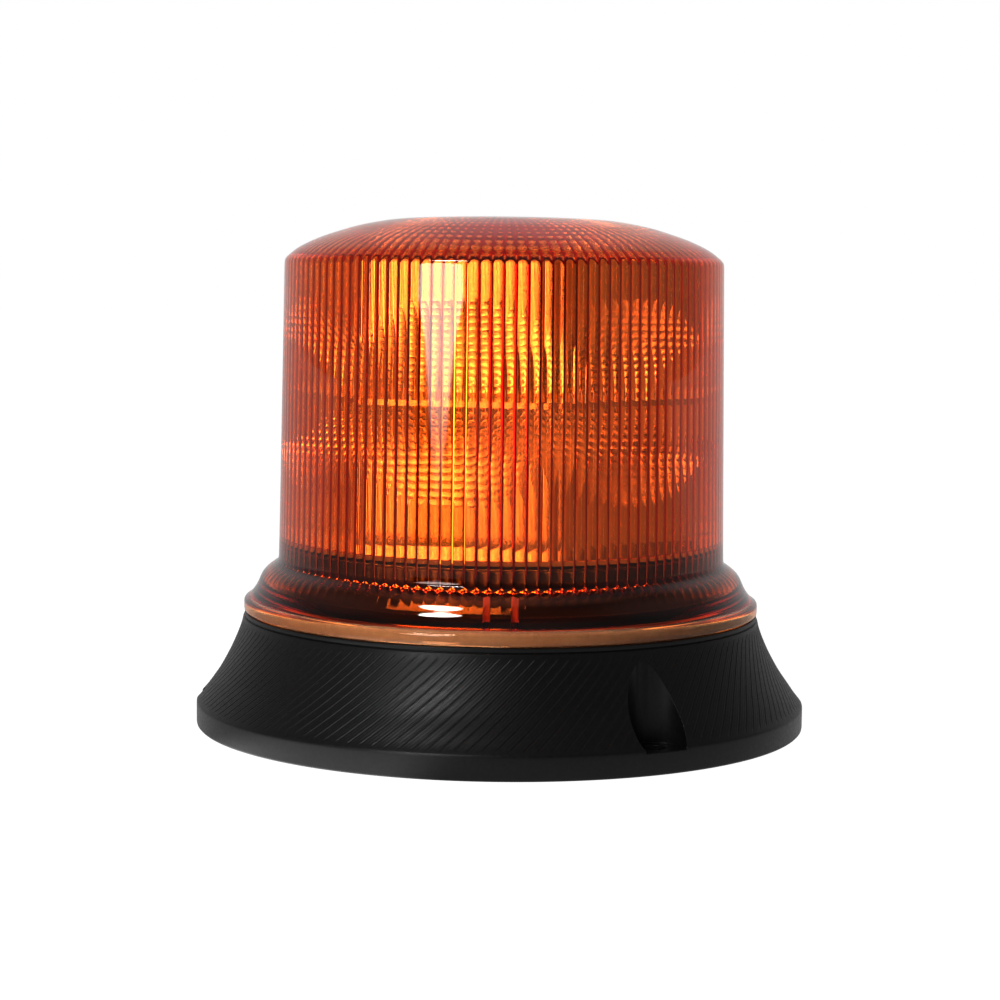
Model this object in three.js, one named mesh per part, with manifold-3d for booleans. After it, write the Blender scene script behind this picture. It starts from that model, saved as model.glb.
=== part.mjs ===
// Amber warning beacon on a three-bolt flange base: fixed LED light engine with a six-sided split
// reflector, twist-lock lens, driver electronics in the base. Millimetres, +Z up, origin at the
// centre of the mounting face, -Y is the front.
import * as THREE from "three";
import { mergeVertices } from "three/addons/utils/BufferGeometryUtils.js";
import Module from "manifold-3d";

const wasm = await Module();
wasm.setup();

// ---- driving dimensions: _R radius, _Z height, _AT direction in degrees from +X ----
const SEG = 48; // facets of the large round parts
const GAP = 0.1; // clearance between a board and what lies against it
const BOARD_T = 1.6; // board thickness
const AXIS = [0, 0];

const BASE_R = 88.6;
const BASE_FOOT_Z = 0.3;
const WALL_TOP = 6.8; // top of the upright wall at the foot of the skirt
const RIM_Z = 33.1; // rim of the base, under the lens flange
const RIM_R = 74.7;
const TROUGH_R = 70.2; // annular channel that takes the lens skirt
const TROUGH_Z = 21;
const RECESS_Z = 1.7; // lower ends of the inner walls and bolt bosses
const PLINTH_R = 60; // raised plinth inside the lens
const PLINTH_Z = 52;
const BAY_R = 57.2; // electronics bay inside the plinth
const BAY_TOP = 49.5;
const BAY_BOTTOM = 9.5;
const BOSS_TOP = BAY_TOP + 1; // bosses in the bay run into the roof of the plinth
const COVER_R = 60.2;

const BOLT_R = 82; // three mounting bolts, M6, on a 164 mm circle
const BOLT_HOLE_R = 3.3;
const BOLTS_AT = [-60, 60, 180];
const POCKET_R = 8; // scalloped pocket over each bolt
const POCKET_AT_R = 83.8;
const LEDGE_Z = 6.4; // bolt seat inside the pocket

const LENS_R = 63.5; // lens outer radius at the top of the wall
const LENS_FOOT_R = 64.85; // and at its foot
const LENS_IN_R = 61.2;
const LENS_TOP = 147.5;
const LENS_WALL_TOP = 134.7;
const LENS_SKIRT_Z = 22.2; // lower edge of the skirt
const FLANGE_R = 74.9;
const FLANGE_Z = 33.4;
const SEAL_IN_R = 70.5; // channel for the seal in the underside of the flange
const SEAL_OUT_R = 73.4;
const SEAL_TOP = 37.3;
const SEAL_PLAY = 0.3; // between the seal and its channel
const LUGS_AT = [-90, 30, 150]; // bayonet lugs and hooks
const LUG_SPAN = 20; // degrees
const HOOK_SPAN = 22;
const STOP_SPAN = 3.5;

const ENGINE_AT = -105; // direction of the first reflector face
const FACES_AT = [0, 60, 120, 180, 240, 300]; // from the first face
const MID_Z = 95.3; // plane of the LED board and of the reflector axes
const BLOCK_R = 47.5; // corner radius of the six-sided reflector block
const BLOCK_TOP = 134;
const BLOCK_FOOT = 54;
const PLATE_Z = 52.3; // underside of the round plate at the foot of the block
const FOCAL = 8.4; // focal length of the reflector bowls
const BOWL_X = 16; // distance of each bowl's vertex from the axis
const BOWL_END_X = 50; // bowls run out past the block's faces
const WALL = 2.6; // wall thickness behind the bowls
const SIDE_WALL = 2.8; // and at the sides of the block
const CORE_R = 20;

const DRIVER_Z = 34; // underside of the driver board
const DRIVER_R = 50;
const DRIVER_TOP = DRIVER_Z + BOARD_T; // seat of what stands on the board
const HANG_Z = DRIVER_Z - GAP; // seat of what hangs from it

const CABLE_Y = 34; // where the cable passes through the cover
const CABLE_Z = 3.0; // height of the cable under the cover
const CABLE_END = 88.2; // cable shown cut off just inside the edge of the base
const CABLE_BEND_R = 5.2;
const WIRE_X = 0.98; // each wire's offset inside the cable

const rad = (degrees) => (degrees * Math.PI) / 180;
const polar = (r, degrees) => [r * Math.cos(rad(degrees)), r * Math.sin(rad(degrees))];
const around = (r, directions) => directions.map((a) => polar(r, a));

// ---- places [x, y] shared by several pieces ----
const BOLTS = around(BOLT_R, BOLTS_AT);
const COVER_SCREWS_AT = [-70, 50, 170];
const COVER_SCREWS = around(53.4, COVER_SCREWS_AT);
const DRIVER_SCREWS = around(42, [-90, 30, 150]);
const ENGINE_SCREW_R = 15.5;
const ENGINE_SCREWS_AT = [30, 150, 270]; // from the first face
const ENGINE_SCREWS = around(ENGINE_SCREW_R, ENGINE_SCREWS_AT.map((a) => ENGINE_AT + a));
const BREATHER = [-24, -8];
const BUTTON_R = 46;
const BUTTON_AT = 15;
const BUTTON = polar(BUTTON_R, BUTTON_AT);

// ---- materials ----
const MATERIAL = {
  lens: { color: 0xd8561a, roughness: 0.08, transparent: true, opacity: 0.55 },
  seal: { color: 0x9a9a98, roughness: 0.6 },
  housing: { color: 0x1b1b1b, roughness: 0.55 },
  gasket: { color: 0x151515, roughness: 0.9 },
  cover: { color: 0x222222, roughness: 0.6 },
  bareMetal: { color: 0xb9bcc0, roughness: 0.35, metalness: 0.9 },
  grommet: { color: 0x121212, roughness: 0.85 },
  sheath: { color: 0x141414, roughness: 0.7 },
  redWire: { color: 0xb01818, roughness: 0.5 },
  blackWire: { color: 0x1a1a1a, roughness: 0.5 },
  tie: { color: 0x1c1c1c, roughness: 0.5 },
  breather: { color: 0x2c2c2e, roughness: 0.6 },
  driverBoard: { color: 0x1f5a34, roughness: 0.5 },
  inductor: { color: 0x3a3a3c, roughness: 0.5, metalness: 0.2 },
  capacitor: { color: 0x23262e, roughness: 0.35, metalness: 0.3 },
  chip: { color: 0x18181a, roughness: 0.45 },
  transistor: { color: 0x1a1a1c, roughness: 0.45 },
  terminal: { color: 0x2f6f9e, roughness: 0.5 },
  switchBody: { color: 0x2b2b2d, roughness: 0.5 },
  button: { color: 0xc8c8c4, roughness: 0.5 },
  reflector: { color: 0xd8d8d8, roughness: 0.08, metalness: 1 },
  ledBoard: { color: 0xe6e6e2, roughness: 0.5 },
  led: { color: 0xf2dc8a, roughness: 0.3 },
};

// ---- geometry helpers ----
// A closed three.js geometry as a manifold-3d solid, faces out.
function solid(geometry) {
  const bare = geometry.clone();
  for (const name of Object.keys(bare.attributes)) {
    if (name !== "position") bare.deleteAttribute(name);
  }
  const merged = mergeVertices(bare, 1e-4);
  const vertProperties = new Float32Array(merged.attributes.position.array);
  const triVerts = new Uint32Array(merged.index.array);
  const make = () => new wasm.Manifold(new wasm.Mesh({ numProp: 3, vertProperties, triVerts }));
  const made = make();
  if (made.volume() >= 0) return made;
  for (let i = 0; i < triVerts.length; i += 3) {
    [triVerts[i + 1], triVerts[i + 2]] = [triVerts[i + 2], triVerts[i + 1]];
  }
  return make();
}

// A solid as a flat-shaded three.js geometry.
function geometryOf(shape) {
  const mesh = shape.getMesh();
  const positions = new Float32Array(mesh.numVert * 3);
  for (let i = 0; i < mesh.numVert; i++) {
    for (let k = 0; k < 3; k++) positions[i * 3 + k] = mesh.vertProperties[i * mesh.numProp + k];
  }
  const indexed = new THREE.BufferGeometry();
  indexed.setAttribute("position", new THREE.BufferAttribute(positions, 3));
  indexed.setIndex(new THREE.BufferAttribute(new Uint32Array(mesh.triVerts), 1));
  const flat = indexed.toNonIndexed();
  flat.computeVertexNormals();
  return flat;
}

const join = (...parts) => parts.reduce((a, b) => a.add(b));
const cut = (shape, ...tools) => tools.reduce((a, b) => a.subtract(b), shape);
const vectors = (points) => points.map(([x, y]) => new THREE.Vector2(x, y));

// Profile of [radius, height] points turned about Z.
const turn = (profile, segments = SEG) =>
  solid(new THREE.LatheGeometry(vectors(profile), segments).rotateX(Math.PI / 2));
const ring = (r0, r1, z0, z1, segments = SEG) =>
  turn([[r0, z0], [r1, z0], [r1, z1], [r0, z1], [r0, z0]], segments);
const post = ([x, y], r, z0, z1, segments = 16) =>
  solid(
    new THREE.CylinderGeometry(r, r, z1 - z0, segments)
      .rotateX(Math.PI / 2)
      .translate(x, y, (z0 + z1) / 2),
  );
const posts = (places, ...size) => places.map((place) => post(place, ...size));
const block = (x0, x1, y0, y1, z0, z1) =>
  solid(
    new THREE.BoxGeometry(x1 - x0, y1 - y0, z1 - z0).translate(
      (x0 + x1) / 2,
      (y0 + y1) / 2,
      (z0 + z1) / 2,
    ),
  );
// Block centred on the axis, sized along X and Y.
const box = (width, depth, z0, z1) => block(-width / 2, width / 2, -depth / 2, depth / 2, z0, z1);

// Prism of a polygon in XY.
function prism(points, z0, z1) {
  const options = { depth: z1 - z0, bevelEnabled: false };
  const shape = new THREE.Shape(vectors(points));
  return solid(new THREE.ExtrudeGeometry(shape, options).translate(0, 0, z0));
}
const hexPrism = (r, z0, z1) => prism(around(r, FACES_AT.map((a) => a + 30)), z0, z1);

// Part of a ring between two directions in degrees.
function sector(r0, r1, z0, z1, from, to) {
  const slice = [AXIS];
  const steps = Math.max(2, Math.ceil((to - from) / 12));
  for (let i = 0; i <= steps; i++) slice.push(polar(r1 * 1.4, from + ((to - from) * i) / steps));
  return ring(r0, r1, z0, z1).intersect(prism(slice, z0 - 1, z1 + 1));
}

// A path sampled only at its given points, so a swept ring stands at each of them.
class PointPath extends THREE.Curve {
  constructor(points) {
    super();
    this.points = points.map((p) => new THREE.Vector3(...p));
  }
  indexAt(u) {
    return Math.round(u * (this.points.length - 1));
  }
  getPointAt(u) {
    return this.points[this.indexAt(u)].clone();
  }
  getTangentAt(u) {
    const { points } = this;
    const i = this.indexAt(u);
    const tangent = new THREE.Vector3();
    const addLeg = (from, to) => tangent.add(to.clone().sub(from).normalize());
    if (i > 0) addLeg(points[i - 1], points[i]);
    if (i < points.length - 1) addLeg(points[i], points[i + 1]);
    return tangent.normalize();
  }
}

// Round bar, or a tube where there is a bore, along [x, y, z] points.
function sweep(points, { radius, bore = 0, sides }) {
  const corners = Array.from({ length: sides }, (_, i) => (360 * i) / sides);
  const shape = new THREE.Shape(vectors(around(radius, corners)));
  if (bore) shape.holes.push(new THREE.Path(vectors(around(bore, corners))));
  const extrudePath = new PointPath(points);
  const options = { steps: points.length - 1, extrudePath, bevelEnabled: false };
  return solid(new THREE.ExtrudeGeometry(shape, options));
}

// ---- scene graph ----
const beacon = new THREE.Group();
const lensGroup = new THREE.Group();
const baseGroup = new THREE.Group();
const engine = new THREE.Group();
engine.position.z = MID_Z;
engine.rotation.z = rad(ENGINE_AT);
baseGroup.add(engine);
beacon.add(baseGroup, lensGroup);

function add(group, name, shape, material, position = [0, 0, 0]) {
  const mesh = new THREE.Mesh(geometryOf(shape), new THREE.MeshStandardMaterial(material));
  mesh.name = name;
  mesh.position.set(...position);
  group.add(mesh);
  return mesh;
}
// The same piece at several places, numbered from 1.
function addEach(name, shape, material, places, z = 0) {
  places.forEach(([x, y], i) => add(baseGroup, `${name}_${i + 1}`, shape, material, [x, y, z]));
}

// ---- lens and its seal ----
function lens() {
  // [radius, height], down the outside from the crown, then back up the inside
  let shape = turn([
    [0, LENS_TOP], [20, 147.3], [33, 146.4], [47.5, 143.1], [57.6, 139.3],
    [LENS_R, LENS_WALL_TOP],
    [LENS_FOOT_R, 49.4], [65.8, 46.9], [68.4, 45.0], [70.3, 42.4], [71.9, 39.3],
    [74.2, 36.9], [FLANGE_R, 36.0], [FLANGE_R, FLANGE_Z],
    [SEAL_OUT_R, FLANGE_Z], [SEAL_OUT_R, SEAL_TOP], [SEAL_IN_R, SEAL_TOP], [SEAL_IN_R, FLANGE_Z],
    [69.4, FLANGE_Z], [69.4, LENS_SKIRT_Z], [66.5, LENS_SKIRT_Z],
    [66.5, 40.8], [61.9, 46.8], [LENS_IN_R, 48.8],
    [60.2, 134.0], [57.4, 135.9], [47.2, 140.0], [33, 143.3], [20, 144.3], [0, 144.6],
  ]);
  const ribY = 3.4;
  const ribHalf = 0.55; // half thickness
  for (const a of LUGS_AT) {
    // lug that turns under the base's hook
    shape = shape.add(sector(61, 67, 23.4, 26.4, a - LUG_SPAN / 2, a + LUG_SPAN / 2));
    // pair of stiffening ribs over the lug, inside the shoulder
    for (const y of [-ribY, ribY]) {
      shape = shape.add(block(62.4, 68, y - ribHalf, y + ribHalf, 33, 43.2).rotate([0, 0, a]));
    }
  }
  return shape;
}
add(lensGroup, "lens", lens(), MATERIAL.lens);

const seal = ring(SEAL_IN_R + SEAL_PLAY, SEAL_OUT_R - SEAL_PLAY, FLANGE_Z, SEAL_TOP - SEAL_PLAY);
add(lensGroup, "lens_seal", seal, MATERIAL.seal);

// ---- base housing ----
// Outside of the base above its foot, [radius, height] up to the rim
const SKIRT = [
  [BASE_R, WALL_TOP], [88.0, 7.6], [84.7, 12.2], [81.6, 16.8], [78.9, 22.0],
  [76.7, 26.8], [75.5, 30.4], [75.1, 31.5], [RIM_R, 31.7], [RIM_R, RIM_Z],
];
// Walls of the base: up the skirt, over the plinth, then back down the underside
const housingShell = () =>
  turn([
    [BASE_R, BASE_FOOT_Z], ...SKIRT,
    [TROUGH_R, RIM_Z], [TROUGH_R, TROUGH_Z], [PLINTH_R, TROUGH_Z],
    [PLINTH_R, 51.2], [59.2, PLINTH_Z], [4.5, PLINTH_Z], [4.5, BAY_TOP],
    [BAY_R, BAY_TOP], [BAY_R, BAY_BOTTOM], [60.2, BAY_BOTTOM], [60.2, 18.5],
    [73.6, 18.5], [73.6, RECESS_Z], [75.6, RECESS_Z], [75.6, 14.0], [79.6, 14.0], [83.4, 7.4],
    [83.4, RECESS_Z], [85, RECESS_Z], [85, BASE_FOOT_Z], [BASE_R, BASE_FOOT_Z],
  ]);

// Bosses under the three bolt seats, kept inside the skirt and clear of the trough, then bored
function addBoltSeats(shell) {
  const envelope = turn([[0, RECESS_Z], [BASE_R, RECESS_Z], ...SKIRT, [0, RIM_Z]]);
  const trough = ring(PLINTH_R - 5, TROUGH_R + 1, 18.6, 60);
  const pockets = around(POCKET_AT_R, BOLTS_AT);
  const bosses = posts(pockets, POCKET_R + 2.4, RECESS_Z, 30.1, 24);
  return cut(
    join(shell, ...bosses.map((boss) => cut(envelope.intersect(boss), trough))),
    ...posts(pockets, POCKET_R, LEDGE_Z, 60, 24),
    ...posts(BOLTS, BOLT_HOLE_R, -5, 20, 20),
  );
}

// Bayonet hooks around the plinth, each with its stop
function hooks() {
  const rootR = PLINTH_R - 1;
  const tipR = 64.6;
  return LUGS_AT.flatMap((a) => {
    const start = a - HOOK_SPAN / 2;
    return [
      sector(rootR, tipR, 27, 29.5, start, a + HOOK_SPAN / 2),
      sector(rootR, tipR, TROUGH_Z - 0.5, 27.4, start - STOP_SPAN, start),
    ];
  });
}

// Bored screw bosses in the bay
function addScrewBosses(shell) {
  const coverBosses = posts(around(53.9, COVER_SCREWS_AT), 3.1, BAY_BOTTOM, BOSS_TOP);
  let shape = join(shell, ...coverBosses);
  shape = cut(shape, ...posts(COVER_SCREWS, 1.5, BAY_BOTTOM - 2, 24, 10));
  shape = join(shape, ...posts(DRIVER_SCREWS, 3.4, DRIVER_TOP, BOSS_TOP));
  shape = cut(shape, ...posts(DRIVER_SCREWS, 1.3, DRIVER_Z, 46, 10));
  shape = join(shape, ...posts(ENGINE_SCREWS, 3.6, 41, BOSS_TOP));
  return cut(shape, ...posts(ENGINE_SCREWS, 1.55, 42.5, 60, 10));
}

function baseHousing() {
  // cable slot through both lower walls at the back
  const cableSlot = block(-3.4, 3.4, 70, 95, -1, 5.9);
  const shell = join(cut(addBoltSeats(housingShell()), cableSlot), ...hooks());
  return cut(addScrewBosses(shell), post(BUTTON, 2.1, 40, 60));
}
add(baseGroup, "base_housing", baseHousing(), MATERIAL.housing);

// mounting gasket, open at the cable slot and pierced for the bolts
const gasket = cut(
  ring(74.2, 84.7, 0, 1.6),
  block(-4.2, 4.2, 60, 95, -1, 3),
  ...posts(BOLTS, 3.6, -2, 4, 20),
);
add(baseGroup, "mounting_gasket", gasket, MATERIAL.gasket);

// ---- bay cover ----
const cover = cut(
  turn([[0, 7], [COVER_R - 0.6, 7], [COVER_R, 7.6], [COVER_R, 9.4], [0, 9.4]]),
  post([0, CABLE_Y], 5, 5, 12, 20),
  post(BREATHER, 4.2, 5, 12, 20),
  ...posts(COVER_SCREWS, 1.9, 5, 12, 12),
);
add(baseGroup, "bay_cover", cover, MATERIAL.cover);

// Cross recess of a screw head
const crossRecess = (z0, z1) => join(box(3, 0.7, z0, z1), box(0.7, 3, z0, z1));

const coverScrew = turn(
  [
    [0, 4.7], [2.2, 4.7], [2.9, 5.3], [2.9, 6.9],
    [1.35, 6.9], [1.35, 19.4], [0.6, 20.4], [0, 20.4],
  ],
  12,
).subtract(crossRecess(4, 5.9));
addEach("cover_screw", coverScrew, MATERIAL.bareMetal, COVER_SCREWS);

const breather = turn(
  [
    [0, 6.0], [5.2, 6.0], [5.2, 6.9], [4.0, 6.9], [4.0, 10.2],
    [4.6, 10.4], [4.6, 11.4], [1.2, 11.4], [1.2, 9], [0, 9],
  ],
  20,
);
add(baseGroup, "breather_plug", breather, MATERIAL.breather, [...BREATHER, 0]);

// ---- supply cable ----
// rubber grommet, belled at the outlet so the cable can turn
const grommet = turn(
  [
    [2.75, 8], [4.0, 6.2], [6.4, 6.2], [6.6, 6.9], [4.8, 6.9], [4.8, 9.5],
    [6.6, 9.5], [6.2, 10.6], [3.6, 11.4], [2.75, 11.4], [2.75, 8],
  ],
  20,
);
add(baseGroup, "cable_grommet", grommet, MATERIAL.grommet, [0, CABLE_Y, 0]);

// Quarter turn from vertical to horizontal under the cover, at a given x
const bend = (x) =>
  [0, 18, 36, 54, 72, 90].map((a) => [
    x,
    CABLE_Y + CABLE_BEND_R * (1 - Math.cos(rad(a))),
    CABLE_Z + CABLE_BEND_R * (1 - Math.sin(rad(a))),
  ]);
const cablePath = [[0, CABLE_Y, 24], ...bend(0), [0, CABLE_END, CABLE_Z]];
const cable = sweep(cablePath, { radius: 2.5, bore: 2.0, sides: 12 });
add(baseGroup, "supply_cable", cable, MATERIAL.sheath);

// The two poles: colour, side of the YZ plane, material
const POLES = [["red", 1, MATERIAL.redWire], ["black", -1, MATERIAL.blackWire]];

// wires from the terminal block down through the cable
for (const [color, side, material] of POLES) {
  const x = side * WIRE_X;
  const path = [
    [side * 2.6, 23.2, 29.2], [side * 2.4, 29, 29.2], [side * 1.8, 32.2, 28.2],
    [side * 1.1, 33.8, 26.2], [x, CABLE_Y, 24.6],
    ...bend(x),
    [x, CABLE_END - 0.1, CABLE_Z],
  ];
  add(baseGroup, `supply_wire_${color}`, sweep(path, { radius: 0.82, sides: 8 }), material);
}

// cable tie above the cover, the strain relief
const tie = cut(
  join(ring(2.8, 3.7, 12.2, 14.8, 16), block(2.9, 6.4, -2.2, 2.2, 11.9, 15.1)),
  post(AXIS, 2.8, 10, 17),
);
add(baseGroup, "cable_tie", tie, MATERIAL.tie, [0, CABLE_Y, 0]);

// ---- driver board ----
const boardTop = BOARD_T - GAP;
const driverBoard = cut(
  turn([[0, 0], [DRIVER_R, 0], [DRIVER_R, boardTop], [0, boardTop]]),
  ...posts(DRIVER_SCREWS, 1.7, -2, 4, 12),
);
add(baseGroup, "driver_board", driverBoard, MATERIAL.driverBoard, [0, 0, DRIVER_Z]);

const driverScrew = turn(
  [
    [0, 31.6], [1.9, 31.6], [2.7, 32.3], [2.7, 33.9],
    [1.2, 33.9], [1.2, 43.4], [0.5, 44.2], [0, 44.2],
  ],
  12,
).subtract(box(2.8, 0.6, 31, 32.5));
addEach("driver_screw", driverScrew, MATERIAL.bareMetal, DRIVER_SCREWS);

// ---- parts hanging from the driver board, z down from their seat ----
const inductor = join(post(AXIS, 6.8, -9.4, -1.2, 20), box(15.2, 15.2, -1.2, 0));
add(baseGroup, "inductor", inductor, MATERIAL.inductor, [24, 14, HANG_Z]);

const capacitor = turn(
  [[0, -13.2], [4.4, -13.2], [5, -12.6], [5, -2], [4.6, -1.6], [5, -1.2], [5, 0], [0, 0]],
  18,
);
addEach("capacitor", capacitor, MATERIAL.capacitor, [[-26, 14], [-26, 27]], HANG_Z);

const chip = join(box(9, 9, -1.7, -0.2), box(11.6, 7.6, -0.6, 0));
add(baseGroup, "controller_chip", chip, MATERIAL.chip, [-8, -22, HANG_Z]);

const transistor = join(box(6.6, 6, -2.4, 0), block(-2.7, 2.7, -5.4, 5, -0.7, 0));
addEach("power_transistor", transistor, MATERIAL.transistor, [[14, -16], [26, -16]], HANG_Z);

// terminal block, with a wire opening at the back and a round hole below for each pole
const terminal = cut(
  box(10.8, 9, -9.6, 0),
  ...[-2.6, 2.6].flatMap((x) => [
    block(x - 1.4, x + 1.4, 1.2, 6, -6.2, -3),
    post([x, -1.2], 1.7, -12, -7.6, 12),
  ]),
);
add(baseGroup, "terminal_block", terminal, MATERIAL.terminal, [0, 20, HANG_Z]);

// ---- pattern switch and its button, on top of the driver board ----
const buttonSeat = [...BUTTON, DRIVER_TOP];
const switchBody = cut(box(7, 7, 0, 5.4), post(AXIS, 2.1, 0.8, 7));
const patternSwitch = add(
  baseGroup, "pattern_switch", switchBody, MATERIAL.switchBody, buttonSeat,
);
patternSwitch.rotation.z = rad(BUTTON_AT);

const button = turn(
  [
    [0, 2.4], [1.75, 2.4], [1.75, 11.2], [2.7, 11.2], [2.7, 12.8],
    [1.75, 12.8], [1.75, 17.8], [1.3, 18.4], [0, 18.4],
  ],
  16,
);
add(baseGroup, "pattern_button", button, MATERIAL.button, buttonSeat);

// ---- leads from the driver board up the heat column to the LED board ----
// [x, height] of the red lead; the black one mirrors it
const LEAD_PATH = [
  [1.5, DRIVER_TOP], [1.5, 97.0], [1.9, 98.0], [2.8, 98.7], [4.4, 98.7], [6.6, 97.9], [8.2, 97.1],
];
for (const [color, side, material] of POLES) {
  const path = LEAD_PATH.map(([x, z]) => [side * x, 0, z]);
  add(baseGroup, `led_lead_${color}`, sweep(path, { radius: 0.85, sides: 8 }), material);
}

// ---- light engine ----
// Local frame: origin on the reflector axes' plane, +X along the first face.

// One parabolic bowl per face as a solid, grown behind its surface by the offset.
function bowls(offset, rings, sides) {
  const maxR = Math.sqrt(4 * FOCAL * (BOWL_END_X - BOWL_X));
  const profile = [];
  for (let i = 0; i <= rings; i++) {
    const r = (maxR * i) / rings;
    const slope = r / (2 * FOCAL);
    const length = Math.sqrt(1 + slope * slope); // of the surface normal
    const x = BOWL_X + (r * r) / (4 * FOCAL);
    profile.push([r + (offset * slope) / length, x - offset / length]);
  }
  profile.push([0, profile[rings][1]]);
  const lathe = new THREE.LatheGeometry(vectors(profile), sides);
  const bowl = solid(lathe.rotateY(Math.PI / sides).rotateZ(-Math.PI / 2));
  return FACES_AT.map((a) => bowl.rotate([0, 0, a]));
}
const reflecting = bowls(0, 5, 20);
const backs = bowls(WALL, 3, 12);
const top = BLOCK_TOP - MID_Z;
const foot = BLOCK_FOOT - MID_Z;
const split = BOARD_T / 2 + GAP; // each half's distance from the middle plane
const screwHoles = (z0, z1) =>
  posts(around(ENGINE_SCREW_R, ENGINE_SCREWS_AT), 1.8, z0, z1, 12);
// What is hollowed out of a half, leaving the bowls' walls and the core
const hollow = (z0, z1, core) => cut(hexPrism(BLOCK_R - SIDE_WALL, z0, z1), ...backs, core);

const upper = cut(
  hexPrism(BLOCK_R, split, top),
  ...reflecting,
  hollow(split + WALL, top + 5, post(AXIS, CORE_R, -5, 8.6, 24)),
  post(AXIS, 10.2, -5, 20, 24),
  ...screwHoles(-5, 20),
);
add(engine, "reflector_upper", upper, MATERIAL.reflector);

// lower half, on its round plate; bored for the heat column, its flange and the button
const plateZ = PLATE_Z - MID_Z;
const plate = turn([[0, plateZ], [56, plateZ], [56, foot], [0, foot]]);
const lower = cut(
  join(cut(hexPrism(BLOCK_R, foot, -split), ...reflecting), plate),
  hollow(foot - 5, -split - WALL, post(AXIS, CORE_R, -60, 5, 24)),
  post(AXIS, 10.2, -60, 5, 24),
  post(AXIS, 12.6, -3.6, 5, 24),
  post(polar(BUTTON_R, BUTTON_AT - ENGINE_AT), 2.8, -60, foot + 2),
  ...screwHoles(-60, 5),
);
add(engine, "reflector_lower", lower, MATERIAL.reflector);

const ledBoard = cut(
  hexPrism(BLOCK_R - 0.8, -BOARD_T / 2, BOARD_T / 2),
  post(AXIS, 4.2, -5, 5, 20),
  ...screwHoles(-5, 5),
);
add(engine, "led_board", ledBoard, MATERIAL.ledBoard);

// LED package: substrate with a domed lens
function led() {
  const substrateT = 0.8;
  const ball = new THREE.SphereGeometry(1.9, 10, 6).rotateX(Math.PI / 2).scale(1, 1, 0.95);
  const dome = cut(solid(ball.translate(0, 0, substrateT)), box(6, 6, -3, 0.4));
  return join(box(5, 5, 0, substrateT), dome);
}
// six up and six down, each at the focus of its bowl
const ledShape = led();
for (const [side, label] of [[1, "top"], [-1, "bottom"]]) {
  FACES_AT.forEach((a, i) => {
    const arm = new THREE.Group();
    arm.rotation.z = rad(a);
    const place = [BOWL_X + FOCAL, 0, side * (BOARD_T / 2 + 0.05)];
    const mesh = add(arm, `led_${label}_${i + 1}`, ledShape, MATERIAL.led, place);
    if (side < 0) mesh.rotation.x = Math.PI;
    engine.add(arm);
  });
}

// heat column: aluminium tube that carries the LED board's heat down to the plinth
const column = turn(
  [[4, 52.1], [9.6, 52.1], [9.6, 92.2], [12.2, 92.2], [12.2, 94.4], [4, 94.4], [4, 52.1]],
  24,
);
add(baseGroup, "heat_column", column, MATERIAL.bareMetal);

const engineScrew = turn(
  [
    [0, 43], [1, 43], [1.45, 44], [1.45, 104.1],
    [2.9, 104.1], [2.9, 105.6], [2.2, 106.3], [0, 106.3],
  ],
  12,
).subtract(crossRecess(105.1, 108));
addEach("engine_screw", engineScrew, MATERIAL.bareMetal, ENGINE_SCREWS);

export default beacon;
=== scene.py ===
"""Amber LED lamp: a ribbed, domed lens on a flared black base, with a six-sided reflector inside.

The lamp stands on the floor (z = 0) with its axis on +Z. The camera looks along +Y and the
supply cable leaves towards +Y. Shapes are built in millimetres and scaled to metres at the
end; angles are in degrees, counter-clockwise from +X. Studio and shader sizes are in metres.
"""

import math

import bpy
import numpy as np
from mathutils import Matrix, Vector


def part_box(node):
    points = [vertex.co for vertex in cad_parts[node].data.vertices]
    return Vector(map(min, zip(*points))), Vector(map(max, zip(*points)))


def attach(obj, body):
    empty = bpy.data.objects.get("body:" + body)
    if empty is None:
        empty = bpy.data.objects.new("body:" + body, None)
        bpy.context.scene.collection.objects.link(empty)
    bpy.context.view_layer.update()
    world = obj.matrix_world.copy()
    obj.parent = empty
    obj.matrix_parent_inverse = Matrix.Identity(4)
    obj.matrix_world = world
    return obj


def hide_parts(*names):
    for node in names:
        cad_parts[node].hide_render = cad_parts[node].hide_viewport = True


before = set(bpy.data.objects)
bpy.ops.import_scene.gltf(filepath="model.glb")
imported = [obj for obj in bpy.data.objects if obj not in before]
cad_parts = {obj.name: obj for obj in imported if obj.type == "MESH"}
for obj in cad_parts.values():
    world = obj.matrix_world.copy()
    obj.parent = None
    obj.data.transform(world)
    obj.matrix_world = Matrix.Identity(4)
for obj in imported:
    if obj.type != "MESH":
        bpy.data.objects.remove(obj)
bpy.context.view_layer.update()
scene = bpy.context.scene


# ---------------------------------------------------------------- sizes taken from the frame
def mm(metres):
    return float(metres) * 1000.0


lens_low, lens_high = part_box("lens")
board_low, board_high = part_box("led_board")
LENS_TOP = mm(lens_high.z)
LENS_FOOT = mm(lens_low.z)
FLANGE_R = mm(lens_high.x)
PLINTH_Z = mm(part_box("base_housing")[1].z)
MID_Z = (mm(board_low.z) + mm(board_high.z)) / 2  # the plane between the two reflectors
BLOCK_TOP = mm(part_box("reflector_upper")[1].z)
FOOT_PLATE_Z = mm(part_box("reflector_lower")[0].z)
SEAL_BOTTOM, SEAL_TOP = (mm(corner.z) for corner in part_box("lens_seal"))
CABLE_END = mm(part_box("supply_cable")[1].y)

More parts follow.
